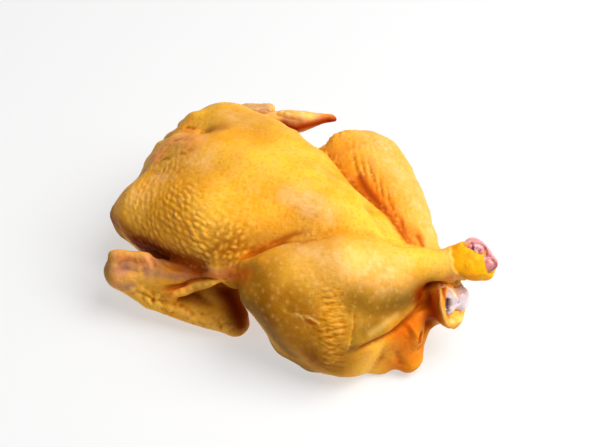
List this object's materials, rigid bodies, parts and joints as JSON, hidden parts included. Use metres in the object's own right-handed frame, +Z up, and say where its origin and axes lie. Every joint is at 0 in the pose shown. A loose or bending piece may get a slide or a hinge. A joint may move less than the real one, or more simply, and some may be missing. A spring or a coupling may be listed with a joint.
{
  "type": "whole raw chicken",
  "caption": "Whole raw chicken with yellow skin, lying on its back: breast up, wings folded at the sides, legs bent and hocks crossed over the tail.",
  "frame": {"origin": "bottom centre of the box round the whole bird, on the surface that it lies on", "axes": "+X from the neck end to the tail, +Y to the bird's left side, +Z up through the breast"},
  "size_m": [0.2652, 0.2144, 0.101],
  "materials": {
    "skin": "moist yellow poultry skin with fine feather follicles, slightly glossy",
    "pink_gristle": "moist pink gristle on a bone end",
    "white_gristle": "moist white gristle on a bone end"
  },
  "bodies": {
    "root": {"carcass": "skin", "right_hock_joint": "pink_gristle", "left_hock_joint": "white_gristle"}
  },
  "joints": []
}
